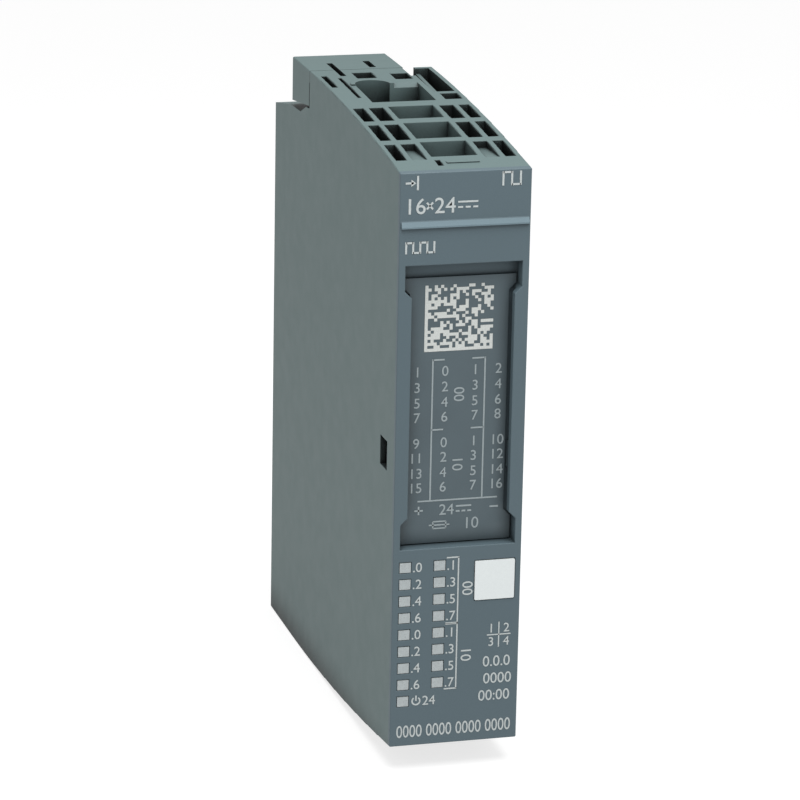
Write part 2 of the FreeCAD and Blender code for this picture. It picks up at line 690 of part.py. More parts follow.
# ---- circuit board ------------------------------------------------------------------------
def main_board():
    board = rounded_block(BOARD_X, BOARD_Y, BOARD_Z, BOARD_ROUND, 0)
    through = (BOARD_X[0] - PAST, BOARD_X[1] + PAST)
    return board.cut([rod_x(BOARD_HOLE, through, y, z) for y, z in BOARD_HOLES])


def on_left(low, high):
    """Pair in x between two heights above the board's left face."""
    return (BOARD_X[0] - high, BOARD_X[0] - low)


def on_right(low, high):
    return (BOARD_X[1] + low, BOARD_X[1] + high)


def flat_package(side, size):
    """Plain component body that stands on the board. side is on_left or on_right."""
    height, y, z = size
    return box(side(0, height), y, z)


def bent_lead(side, shoulder, edge, out):
    """Bent lead as (x, run) pairs: out of the body at its shoulder, down, and along the board."""
    knee = sorted((edge - LEAD_ROOT * out, edge + LEAD_KNEE * out))
    leg = sorted((edge + (LEAD_KNEE - LEAD_THICKNESS) * out, edge + LEAD_KNEE * out))
    foot = sorted((edge + (LEAD_KNEE - LEAD_THICKNESS) * out, edge + LEAD_REACH * out))
    return [
        (side(shoulder - LEAD_THICKNESS, shoulder), knee),
        (side(0, shoulder), leg),
        (side(0, LEAD_THICKNESS), foot),
    ]


def leaded_package(side, size, four_sides=False):
    """Moulded package with bent leads along its upper and lower edges, or all round."""
    height, y, z, leads, pitch = size
    shoulder = STANDOFF + height * LEAD_SHOULDER
    pieces = [box(side(STANDOFF, STANDOFF + height), y, z)]
    for index in range(leads):
        shift = (index - (leads - 1) / 2) * pitch
        place = around(sum(y) / 2 + shift, pitch * LEAD_SHARE)
        for edge, out in ((z[1], 1), (z[0], -1)):
            pieces += [box(x, place, run) for x, run in bent_lead(side, shoulder, edge, out)]
        if four_sides:
            place = around(sum(z) / 2 + shift, pitch * LEAD_SHARE)
            for edge, out in ((y[1], 1), (y[0], -1)):
                pieces += [box(x, run, place) for x, run in bent_lead(side, shoulder, edge, out)]
    return fused(pieces)


def optocouplers():
    """Four isolating input packages in a column."""
    height, y, width, leads, pitch = OPTO_BODY
    sizes = [(height, y, around(z, width), leads, pitch) for z in OPTO_MIDDLES]
    return Part.makeCompound([leaded_package(on_left, size) for size in sizes])


def quartz_crystal():
    height, y, z = CRYSTAL
    return rounded_block(on_right(0, height), y, z, CRYSTAL_ROUND, 0)


def chip_group(rows):
    """Equal small chips in columns on the board's right face."""
    (height, length, width), (first_y, first_z), (column_pitch, row_pitch) = rows
    chips = []
    for column in range(CHIP_COLUMNS):
        for row in range(CHIPS_IN_COLUMN):
            y = around(first_y + column * column_pitch, length)
            z = around(first_z + row * row_pitch, width)
            chips.append(box(on_right(0, height), y, z))
    return Part.makeCompound(chips)


def surge_diodes():
    """Row of moulded diodes with flat end tabs."""
    height, body_y, width = DIODE_BODY
    tab_height, tab_y, tab_width = DIODE_TAB
    diodes = []
    for index in range(DIODE_COUNT):
        middle = DIODE_FIRST_Z + index * DIODE_PITCH
        body = box(on_right(STANDOFF, height), body_y, around(middle, width))
        tab = box(on_right(0, tab_height), tab_y, around(middle, tab_width))
        diodes.append(fused([body, tab]))
    return Part.makeCompound(diodes)


def buffer_capacitors():
    """Two round cans with a square foot, lying out from the board."""
    foot_height, foot_size = CAN_FOOT
    can_x = on_left(foot_height, CAN_LENGTH)
    cans = []
    for z in CAN_MIDDLES:
        foot_z = around(z, foot_size)
        foot = rounded_block(on_left(0, foot_height), around(CAN_Y, foot_size), foot_z, CAN_FOOT_ROUND, 0)
        can = rod_x(CAN_RADIUS, can_x, CAN_Y, z)
        can = rounded(can, CAN_ROUND, lambda edge: edge.BoundBox.XMax < can_x[0] + 0.01)
        cans.append(fused([foot, can]))
    return Part.makeCompound(cans)


def power_inductor():
    """Drum choke on a square foot."""
    y, z = CHOKE_MIDDLE
    foot_height, foot_size = CHOKE_FOOT
    core_radius, core_height = CHOKE_CORE
    lid_radius, lid_height = CHOKE_LID
    foot = rounded_block(on_left(0, foot_height), around(y, foot_size), around(z, foot_size), CHOKE_ROUND, 0)
    core = rod_x(core_radius, on_left(foot_height, core_height), y, z)
    lid = rod_x(lid_radius, on_left(core_height, lid_height), y, z)
    return fused([foot, core, lid])


def isolation_transformer():
    """Ferrite core with two windows, on its foot."""
    foot_y = (CORE_Y[0] - CORE_FOOT_MARGIN, CORE_Y[1] + CORE_FOOT_MARGIN)
    foot_z = (CORE_Z[0] - CORE_FOOT_MARGIN, CORE_Z[1] + CORE_FOOT_MARGIN)
    core = box(on_left(*CORE_HEIGHTS), CORE_Y, CORE_Z)
    windows = [box(on_left(*CORE_WINDOW_HEIGHTS), foot_y, z) for z in CORE_WINDOWS_Z]
    foot = box(on_left(0, CORE_HEIGHTS[0]), foot_y, foot_z)
    return fused([core.cut(windows), foot])


def transformer_winding():
    """Coil around the core's middle leg, bulging out of both mouths of the core."""
    (low, leg_low), (leg_high, high) = CORE_WINDOWS_Z
    heights = (CORE_WINDOW_HEIGHTS[0] + GAP, CORE_WINDOW_HEIGHTS[1] - GAP)
    y = (CORE_Y[0] - COIL_BULGE, CORE_Y[1] + COIL_BULGE)
    coil = rounded_block(on_left(*heights), y, (low + COIL_MARGIN, high - COIL_MARGIN), COIL_ROUND, 0)
    leg_y = (CORE_Y[0] - GAP, CORE_Y[1] + GAP)
    return coil.cut(box(on_left(*CORE_HEIGHTS), leg_y, (leg_low - GAP, leg_high + GAP)))


def voltage_regulator():
    """Power package with a cooling tab above and two legs below."""
    height, y, z = REGULATOR
    leg_height, legs_y, legs_z = REGULATOR_LEGS
    legs = [box(on_left(0, leg_height), leg_y, legs_z) for leg_y in legs_y]
    body = box(on_left(STANDOFF, height), y, z)
    return fused([body, flat_package(on_left, REGULATOR_TAB)] + legs)


# ---- rear contacts and base ---------------------------------------------------------------
def contact_blade(x, z, tail_y, size):
    """Flat blade that points backwards, with a tail that turns to the board."""
    width, thickness, tail = size
    shoulder = CONTACT_TIP - CONTACT_POINT
    blade = box(around(x, width), (tail_y, shoulder), around(z, thickness))
    turn = box((x - width / 2, BOARD_X[0]), (tail_y, tail_y + tail), around(z, thickness))
    outline = [
        (shoulder, z - thickness / 2),
        (CONTACT_TIP, z - thickness / 6),
        (CONTACT_TIP, z + thickness / 6),
        (shoulder, z + thickness / 2),
    ]
    return fused([blade, side_prism(outline, around(x, width)), turn])


def contact_columns(columns, first_z, pitch, rows, size):
    """Group of equal contacts. columns holds each column's x and the depth of its tails."""
    heights = [first_z + row * pitch for row in range(rows)]
    contacts = [contact_blade(x, z, tail_y, size) for x, tail_y in columns for z in heights]
    return Part.makeCompound(contacts)


def process_contacts():
    return contact_columns(PROCESS_COLUMNS, PROCESS_FIRST_Z, PROCESS_PITCH, PROCESS_ROWS, PROCESS_BLADE)


def supply_contacts():
    return Part.makeCompound([contact_blade(SUPPLY_X, z, SUPPLY_TAIL_Y, SUPPLY_BLADE) for z in SUPPLY_Z])


def bus_contacts():
    return contact_columns(BUS_COLUMNS, BUS_FIRST_Z, BUS_PITCH, BUS_ROWS, BUS_BLADE)


def contact_carrier(contacts):
    """Insulating block that holds the process and supply blades."""
    block = box((PROCESS_WELL[0][0], BOARD_X[0]), CARRIER_Y, (PROCESS_WELL[1][0], SUPPLY_WELL[1][1]))
    return block.cut(contacts)


def bus_carrier(pins):
    block = box((BUS_WELL[0][0], BOARD_X[0]), (BUS_CARRIER_FRONT, CARRIER_Y[1]), BUS_WELL[1])
    return block.cut(pins)


def well_wall(well, front):
    """Block around a well, from the given depth to just inside the base plate."""
    x, z = well
    wall_x = (x[0] - WELL_WALL, x[1] + WELL_WALL)
    wall_z = (z[0] - WELL_WALL, z[1] + WELL_WALL)
    return box(wall_x, (front, BASE_Y[0] + GAP), wall_z)


def rear_connector_base():
    """Rear closure with one open well for each plug and for the coding key."""
    rear = DEPTH + PAST
    plate = rounded_block((-FIT, FIT), BASE_Y, BASE_Z, BASE_ROUND, 1)
    plug_wells = (PROCESS_WELL, SUPPLY_WELL, BUS_WELL)
    walls = [well_wall(well, CARRIER_Y[1]) for well in plug_wells]
    walls.append(well_wall(KEY_WELL, KEY_WELL_FLOOR - KEY_FLOOR))
    hollows = [box(x, (CARRIER_Y[1] - PAST, rear), z) for x, z in plug_wells]
    hollows.append(box(KEY_WELL[0], (KEY_WELL_FLOOR, rear), KEY_WELL[1]))
    hollows.append(box(*BASE_GROOVE))
    return fused([plate.fuse(walls).cut(hollows)])


def coding_key_holder():
    """Fixed half of the coding element: foot with a square guide post and two pegs."""
    x, z = KEY_MIDDLE
    foot_size, foot_rear = KEY_FOOT
    post_size, post_rear = KEY_POST
    peg_size, peg_rear = KEY_PEG
    foot = box(around(x, foot_size), (KEY_WELL_FLOOR, foot_rear), around(z, foot_size))
    post = box(around(x, post_size), (foot_rear, post_rear), around(z, post_size))
    peg_z = around(z + KEY_PEG_Z, peg_size)
    peg_y = (foot_rear, peg_rear)
    pegs = [box(around(x + shift, peg_size), peg_y, peg_z) for shift in (-KEY_PEG_X, KEY_PEG_X)]
    return fused([foot, post] + pegs)


def coding_key():
    """Loose half of the coding element, which slides off the post to the rear."""
    x, z = KEY_MIDDLE
    size, y = KEY_BODY
    notch_start, notch_front = KEY_NOTCH
    rear = DEPTH + PAST
    body = rounded_block(around(x, size), y, around(z, size), KEY_ROUND, 1)
    slot = box(around(x, KEY_SLOT), (KEY_WELL_FLOOR, rear), around(z, KEY_SLOT))
    notch = box((x + notch_start, x + size), (notch_front, rear), (z + notch_start, z + size))
    return body.cut([slot, notch])


# ---- build --------------------------------------------------------------------------------
def main():
    os.makedirs("parts", exist_ok=True)
    outer = envelope()
    process = process_contacts()
    supply = supply_contacts()
    bus = bus_contacts()

    export("housing_hood", housing_hood(outer))
    export("front_cover", front_cover())
    export("wiring_label", wiring_label())
    export("colour_tag", colour_tag())
    export("top_release_lever", release_lever(outer, -HALF, True))
    export("bottom_release_lever", flipped(release_lever(outer, -INSIDE + LEVER_CLEARANCE, False)))
    export("channel_light_guide", channel_light_guide())
    export("power_light_guide", power_light_guide())
    export("display_board", display_board())
    export("status_leds", status_leds())
    export("board_link_header", board_link_header())
    export("main_board", main_board())
    export("optocouplers", optocouplers())
    export("bus_controller", leaded_package(on_right, BUS_CHIP, four_sides=True))
    export("microcontroller", flat_package(on_right, MICROCONTROLLER))
    export("memory_chip", leaded_package(on_right, MEMORY_CHIP))
    export("quartz_crystal", quartz_crystal())
    export("voltage_regulator", voltage_regulator())
    export("supply_fuse", flat_package(on_left, FUSE))
    export("power_inductor", power_inductor())
    export("isolation_transformer", isolation_transformer())
    export("transformer_winding", transformer_winding())
    export("buffer_capacitors", buffer_capacitors())
    export("surge_diodes", surge_diodes())
    export("input_resistors", chip_group(RESISTORS))
    export("filter_capacitors", chip_group(FILTER_CAPACITORS))
    export("process_contacts", process)
    export("supply_contacts", supply)
    export("contact_carrier", contact_carrier([process, supply]))
    export("bus_contacts", bus)
    export("bus_contact_carrier", bus_carrier(bus))
    export("rear_connector_base", rear_connector_base())
    export("coding_key_holder", coding_key_holder())
    export("coding_key", coding_key())


main()
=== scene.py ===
"""Looks of a slim plug-in input module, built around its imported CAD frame.

Places on the front are millimetres: x from the middle of the width, z from the underside.
"""
import json
import math
import random

import bmesh
import bpy
from mathutils import Matrix, Vector


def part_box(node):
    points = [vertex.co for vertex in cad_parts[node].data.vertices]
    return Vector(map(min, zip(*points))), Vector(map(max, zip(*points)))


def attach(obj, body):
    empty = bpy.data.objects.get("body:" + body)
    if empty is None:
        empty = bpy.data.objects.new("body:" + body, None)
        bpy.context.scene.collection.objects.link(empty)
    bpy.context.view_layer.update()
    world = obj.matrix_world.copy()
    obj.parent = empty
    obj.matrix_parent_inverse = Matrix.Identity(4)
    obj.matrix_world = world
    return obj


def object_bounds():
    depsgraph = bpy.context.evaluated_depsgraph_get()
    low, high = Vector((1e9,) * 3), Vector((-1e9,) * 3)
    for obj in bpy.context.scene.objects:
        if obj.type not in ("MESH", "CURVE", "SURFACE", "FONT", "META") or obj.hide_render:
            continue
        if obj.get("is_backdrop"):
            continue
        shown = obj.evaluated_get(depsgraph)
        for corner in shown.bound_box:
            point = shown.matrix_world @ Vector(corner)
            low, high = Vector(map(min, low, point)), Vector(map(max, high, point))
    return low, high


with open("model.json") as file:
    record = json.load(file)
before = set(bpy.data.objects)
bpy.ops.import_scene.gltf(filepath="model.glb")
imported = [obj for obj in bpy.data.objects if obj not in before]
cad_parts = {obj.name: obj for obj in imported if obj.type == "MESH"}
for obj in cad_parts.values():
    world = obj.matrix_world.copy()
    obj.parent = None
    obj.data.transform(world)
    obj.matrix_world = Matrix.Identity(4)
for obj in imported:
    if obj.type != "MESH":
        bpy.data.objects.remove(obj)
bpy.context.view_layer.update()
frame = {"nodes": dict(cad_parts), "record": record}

MM = 0.001
UNDERSIDE = -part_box("top_release_lever")[1][2]      # the module is symmetric about z = 0
RIB_RISE = 0.3 * MM
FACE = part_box("front_cover")[0][1] + RIB_RISE
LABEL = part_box("wiring_label")[0][1]
MAIN_BODY = "module"

# view of the module: turned to show its left side, tilted to show its roof
CAMERA_TURN = math.radians(15.554)
CAMERA_TILT = math.radians(16.403)
CAMERA_ROLL = math.radians(1.128)
CAMERA_DISTANCE = 429.68 * MM
CAMERA_SHIFT = (6.663 * MM, -6.991 * MM)
CAMERA_LENS = 173.25

# studio
FLOOR_HALF = 3.0           # metres
FLOOR_GAP = 0.02 * MM
SKY_STRENGTH = 0.53
KEY_POWER = 0.8
KEY_PLACE = (0.0, -0.13, 0.24)
KEY_SIZE = 0.22
FLOOR_GLOW = (0.45, 0.75)  # as it lights the module, and as the camera sees it

# print on the face and on the label
PRINT_HEIGHT = 0.03 * MM
PRINT_SINK = 0.01 * MM
DIGIT_WEIGHT = 0.004
DIGIT_CAP = 0.70           # height of a digit of the built-in font at size 1


# ---- small helpers ------------------------------------------------------------------------
def srgb(red, green, blue):
    """Linear colour from 0 to 255 values as seen on a screen."""
    def linear(value):
        value = value / 255
        return value / 12.92 if value <= 0.04045 else ((value + 0.055) / 1.055) ** 2.4
    return (linear(red), linear(green), linear(blue), 1.0)


def front_place(x, z, plane, out=0.0):
    """Point in the part's frame, out metres in front of a plane of the front."""
    return Vector((x * MM, plane - out, z * MM + UNDERSIDE))


def around(middle, size):
    """Pair of ends about a middle."""
    return (middle - size / 2, middle + size / 2)


# ---- materials ----------------------------------------------------------------------------
SHADE_SAMPLES = 6
SHADE_OPENNESS = (0.42, 1.0)        # open share at which a hollow is darkest, and not darkened
MASKED_COPPER = (0.07, 0.26, 0.10, 1.0)


class Nodes:
    """Short way to build a node material around one Principled shader."""

    def __init__(self, name, colour, roughness, metallic=0.0):
        self.material = bpy.data.materials.new(name)
        self.material.use_nodes = True
        self.tree = self.material.node_tree
        self.shader = self.tree.nodes["Principled BSDF"]
        self.shader.inputs["Base Color"].default_value = colour
        self.shader.inputs["Roughness"].default_value = roughness
        self.shader.inputs["Metallic"].default_value = metallic
        self.colour = colour
        self.place = self.tree.nodes.new("ShaderNodeTexCoord").outputs["Object"]

    def link(self, start, end):
        self.tree.links.new(start, end)

    def stretched(self, scale):
        """The object coordinates, scaled apart along the three axes."""
        mapping = self.tree.nodes.new("ShaderNodeMapping")
        mapping.inputs["Scale"].default_value = scale
        self.link(self.place, mapping.inputs["Vector"])
        return mapping.outputs["Vector"]

    def noise(self, size, detail=2.0, roughness=0.5, vector=None):
        """Noise whose blotches are about size millimetres across."""
        node = self.tree.nodes.new("ShaderNodeTexNoise")
        node.inputs["Scale"].default_value = 1 / (size * MM)
        node.inputs["Detail"].default_value = detail
        node.inputs["Roughness"].default_value = roughness
        self.link(vector or self.place, node.inputs["Vector"])
        return node.outputs["Fac"]

    def ramp(self, value, low, high):
        """Value moved from the range 0.3 to 0.7 to the range low to high."""
        node = self.tree.nodes.new("ShaderNodeMapRange")
        node.inputs["From Min"].default_value = 0.3
        node.inputs["From Max"].default_value = 0.7
        node.inputs["To Min"].default_value = low
        node.inputs["To Max"].default_value = high
        self.link(value, node.inputs["Value"])
        return node.outputs["Result"]

    def in_front_of(self, plane, value):
        """Value where the surface lies in front of a plane of the face, 1 elsewhere."""
        axes = self.tree.nodes.new("ShaderNodeSeparateXYZ")
        self.link(self.place, axes.inputs["Vector"])
        step = self.math("LESS_THAN", axes.outputs["Y"], plane)
        return self.math("ADD", self.math("MULTIPLY", step, value - 1.0), 1.0)

    def math(self, operation, first, second):
        node = self.tree.nodes.new("ShaderNodeMath")
        node.operation = operation
        for socket, value in zip(node.inputs, (first, second)):
            if isinstance(value, (int, float)):
                socket.default_value = value
            else:
                self.link(value, socket)
        return node.outputs["Value"]

    def shade(self, reach, darkest):
        """Painted shade: 1 on open faces, falling to darkest deep inside slots and wells narrower than
        reach.
        """
        node = self.tree.nodes.new("ShaderNodeAmbientOcclusion")
        node.samples = SHADE_SAMPLES
        node.inputs["Distance"].default_value = reach * MM
        curve = self.tree.nodes.new("ShaderNodeMapRange")
        curve.interpolation_type = "SMOOTHSTEP"
        curve.inputs["From Min"].default_value = SHADE_OPENNESS[0]
        curve.inputs["From Max"].default_value = SHADE_OPENNESS[1]
        curve.inputs["To Min"].default_value = darkest
        curve.inputs["To Max"].default_value = 1.0
        self.link(node.outputs["AO"], curve.inputs["Value"])
        return curve.outputs["Result"]

    def tint(self, factor):
        """Multiply the base colour by a factor that varies over the surface."""
        node = self.tree.nodes.new("ShaderNodeVectorMath")
        node.operation = "SCALE"
        node.inputs[0].default_value = self.colour[:3]
        self.link(factor, node.inputs["Scale"])
        self.link(node.outputs["Vector"], self.shader.inputs["Base Color"])

    def blend(self, factor, colour):
        """Go from the base colour to another one where factor is 1."""
        node = self.tree.nodes.new("ShaderNodeMix")
        node.data_type = "RGBA"
        node.inputs["A"].default_value = self.colour
        node.inputs["B"].default_value = colour
        self.link(factor, node.inputs["Factor"])
        self.link(node.outputs["Result"], self.shader.inputs["Base Color"])

    def rough(self, value):
        self.link(value, self.shader.inputs["Roughness"])

    def bump(self, height, depth):
        """Relief with a depth in millimetres."""
        node = self.tree.nodes.new("ShaderNodeBump")
        node.inputs["Distance"].default_value = depth * MM
        self.link(height, node.inputs["Height"])
        self.link(node.outputs["Normal"], self.shader.inputs["Normal"])


def moulded(name, colour, roughness=0.5, grain=0.14, relief=0.012, painted_hollow_shade=None, gloss=0.5, painted_highlight=None):
    """Moulded plastic: eroded-tool grain, faint flow mottling and uneven gloss.

    Painted shade in hollows is given as a reach in millimetres and a darkest value. A painted
    highlight is given as a plane and a factor: whatever stands in front of that plane is painted paler.
    """
    nodes = Nodes(name, colour, roughness)
    nodes.shader.inputs["Specular IOR Level"].default_value = gloss
    fine = nodes.noise(grain, detail=3.0, roughness=0.6)
    broad = nodes.noise(14.0, detail=2.0)
    mottle_and_painted_light = nodes.math("MULTIPLY", nodes.ramp(broad, 0.992, 1.008), nodes.ramp(fine, 0.98, 1.02))
    if painted_hollow_shade:
        # painted shade: the colour is darkened in slots, wells and recesses
        mottle_and_painted_light = nodes.math("MULTIPLY", mottle_and_painted_light, nodes.shade(*painted_hollow_shade))
    if painted_highlight:
        # painted highlight: the colour is made paler in front of the plane
        mottle_and_painted_light = nodes.math("MULTIPLY", mottle_and_painted_light, nodes.in_front_of(*painted_highlight))
    nodes.tint(mottle_and_painted_light)
    nodes.rough(nodes.ramp(nodes.noise(2.2), roughness - 0.02, roughness + 0.03))
    nodes.bump(fine, relief)
    return nodes.material


def film(name, colour, painted_hollow_shade):
    """Satin label film with a fine lacquer ripple, and painted shade where the recess walls stand over it.
    """
    nodes = Nodes(name, colour, 0.42)
    cloud = nodes.ramp(nodes.noise(5.0), 0.96, 1.04)
    # painted shade where the recess walls stand over the film
    nodes.tint(nodes.math("MULTIPLY", cloud, nodes.shade(*painted_hollow_shade)))
    nodes.rough(nodes.ramp(nodes.noise(1.4), 0.36, 0.5))
    nodes.bump(nodes.noise(0.3, detail=2.0), 0.004)
    return nodes.material


def ink(name, colour):
    """Pad print: slightly uneven coverage over the moulded grain."""
    nodes = Nodes(name, colour, 0.5)
    nodes.tint(nodes.ramp(nodes.noise(0.12, detail=3.0), 0.88, 1.06))
    nodes.rough(nodes.ramp(nodes.noise(0.3), 0.42, 0.58))
    nodes.bump(nodes.noise(0.08), 0.004)
    return nodes.material


def frosted(name, colour):
    """Unlit light guide: milky clear plastic that scatters light near its surface."""
    nodes = Nodes(name, colour, 0.3)
    nodes.shader.inputs["Transmission Weight"].default_value = 0.12
    nodes.shader.inputs["IOR"].default_value = 1.49
    nodes.shader.inputs["Subsurface Weight"].default_value = 0.25
    nodes.shader.inputs["Subsurface Radius"].default_value = (1.0, 1.0, 1.0)
    nodes.shader.inputs["Subsurface Scale"].default_value = 0.6 * MM
    nodes.tint(nodes.ramp(nodes.noise(0.5, detail=2.0), 0.94, 1.05))
    nodes.rough(nodes.ramp(nodes.noise(0.2), 0.24, 0.4))
    nodes.bump(nodes.noise(0.1), 0.005)
    return nodes.material


def solder_mask(name, colour):
    """Glossy board lacquer over copper tracks, which show as paler straight runs."""
    nodes = Nodes(name, colour, 0.3)
    tracks = nodes.tree.nodes.new("ShaderNodeTexBrick")
    tracks.offset = 0.37
    tracks.inputs["Scale"].default_value = 1 / (4.5 * MM)
    tracks.inputs["Mortar Size"].default_value = 0.045
    tracks.inputs["Mortar Smooth"].default_value = 0.2
    upright = nodes.tree.nodes.new("ShaderNodeVectorRotate")
    upright.rotation_type = "Y_AXIS"
    upright.inputs["Angle"].default_value = math.radians(90)
    nodes.link(nodes.place, upright.inputs["Vector"])
    flat = nodes.tree.nodes.new("ShaderNodeVectorRotate")
    flat.rotation_type = "Z_AXIS"
    flat.inputs["Angle"].default_value = math.radians(90)
    nodes.link(upright.outputs["Vector"], flat.inputs["Vector"])
    nodes.link(flat.outputs["Vector"], tracks.inputs["Vector"])
    nodes.blend(tracks.outputs["Fac"], MASKED_COPPER)
    nodes.rough(nodes.ramp(nodes.noise(1.5), 0.24, 0.38))
    nodes.bump(tracks.outputs["Fac"], 0.03)
    return nodes.material


def epoxy(name, colour):
    """Transfer-moulded package body: matt, grainy, with faint pale filler specks."""
    nodes = Nodes(name, colour, 0.62)
    specks = nodes.noise(0.07, detail=4.0, roughness=0.7)
    nodes.tint(nodes.ramp(specks, 0.75, 1.35))
    nodes.rough(nodes.ramp(nodes.noise(0.5), 0.54, 0.7))
    nodes.bump(specks, 0.01)
    return nodes.material


def sintered(name, colour):
    """Pressed and fired body: ferrite or chip ceramic, with small pits."""
    nodes = Nodes(name, colour, 0.7)
    grains = nodes.tree.nodes.new("ShaderNodeTexVoronoi")
    grains.inputs["Scale"].default_value = 1 / (0.18 * MM)
    nodes.link(nodes.place, grains.inputs["Vector"])
    nodes.tint(nodes.ramp(grains.outputs["Distance"], 0.85, 1.2))
    nodes.rough(nodes.ramp(nodes.noise(0.6), 0.6, 0.8))
    nodes.bump(grains.outputs["Distance"], 0.02)
    return nodes.material


def plated(name, colour, roughness=0.28):
    """Plated contact: fine rolling lines along its length and dull patches."""
    nodes = Nodes(name, colour, roughness, metallic=1.0)
    lines = nodes.noise(0.05, vector=nodes.stretched((1.0, 0.04, 1.0)))
    nodes.tint(nodes.ramp(nodes.noise(1.2), 0.9, 1.06))
    nodes.rough(nodes.ramp(lines, roughness - 0.08, roughness + 0.14))
    nodes.bump(lines, 0.003)
    return nodes.material


def drawn_can(name, colour):
    """Drawn aluminium: fine rings around the can and a soft haze."""
    nodes = Nodes(name, colour, 0.3, metallic=1.0)
    rings = nodes.noise(0.06, vector=nodes.stretched((1.0, 0.05, 0.05)))
    nodes.tint(nodes.ramp(nodes.noise(1.6), 0.92, 1.05))
    nodes.rough(nodes.ramp(rings, 0.22, 0.42))
    nodes.bump(rings, 0.004)
    return nodes.material


def wound(name, colour):
    """Enamelled wire laid in even turns, seen as rounded ridges."""
    nodes = Nodes(name, colour, 0.35, metallic=0.6)
    turns = nodes.tree.nodes.new("ShaderNodeTexWave")
    turns.bands_direction = "X"
    turns.inputs["Scale"].default_value = 1 / (4.0 * MM)
    turns.inputs["Distortion"].default_value = 0.6
    nodes.link(nodes.place, turns.inputs["Vector"])
    nodes.tint(nodes.ramp(turns.outputs["Fac"], 0.7, 1.1))
    nodes.bump(turns.outputs["Fac"], 0.08)
    return nodes.material


HOOD_COLOUR = srgb(94, 112, 112)
COVER_COLOUR = srgb(86, 102, 109)
# painted shade in slots, wells and recesses for each finish: reach in millimetres and darkest value
HOOD_PAINTED_SHADE = (5.0, 0.04)          # reach in millimetres and darkest value
COVER_PAINTED_SHADE = (1.2, 0.45)
LABEL_PAINTED_SHADE = (2.0, 0.5)
# painted highlight: the title rib, standing in front of this plane, is painted paler where light catches its
# top
RIB_PAINTED_HIGHLIGHT = (FACE - 0.05 * MM, 1.55)

FINISHES = {
    "hood_plastic": moulded(
        "hood_plastic", HOOD_COLOUR, relief=0.008, painted_hollow_shade=HOOD_PAINTED_SHADE, gloss=0.3,
    ),
    "cover_plastic": moulded(
        "cover_plastic", COVER_COLOUR, 0.48, painted_hollow_shade=COVER_PAINTED_SHADE, gloss=0.35, painted_highlight=RIB_PAINTED_HIGHLIGHT,
    ),
    "label_film": film("label_film", srgb(79, 93, 99), LABEL_PAINTED_SHADE),
    "tag_white": moulded("tag_white", srgb(222, 228, 228), 0.55, grain=0.2, relief=0.006),
    "light_guide": frosted("light_guide", srgb(182, 190, 191)),
    "board_green": solder_mask("board_green", srgb(20, 74, 38)),
    "package_black": epoxy("package_black", srgb(38, 38, 40)),
    "print_ink": ink("print_ink", srgb(186, 193, 193)),
    "label_ink": ink("label_ink", srgb(150, 161, 164)),
    "code_ink": ink("code_ink", srgb(204, 208, 205)),
    "gold_contact": plated("gold_contact", srgb(226, 192, 122)),
    "carrier_black": moulded("carrier_black", srgb(44, 46, 48), 0.55, grain=0.1, relief=0.015),
    "base_plastic": moulded("base_plastic", srgb(88, 99, 101), 0.52),
    "chip_ceramic": sintered("chip_ceramic", srgb(150, 128, 100)),
    "led_body": moulded("led_body", srgb(232, 232, 222), 0.35, grain=0.1, relief=0.004),
    "ferrite": sintered("ferrite", srgb(62, 62, 64)),
    "copper_winding": wound("copper_winding", srgb(176, 104, 62)),
    "can_aluminium": drawn_can("can_aluminium", srgb(206, 208, 210)),
    "key_plastic": moulded("key_plastic", srgb(206, 205, 198), 0.5, grain=0.16),
}


def finish_cad_nodes():
    """Give each CAD node the finish of its material slot."""
    for part in frame["record"]["subparts"]:
        node = frame["nodes"][part["node"]]
        node.data.materials.clear()
        node.data.materials.append(FINISHES[part["material_slot"]])


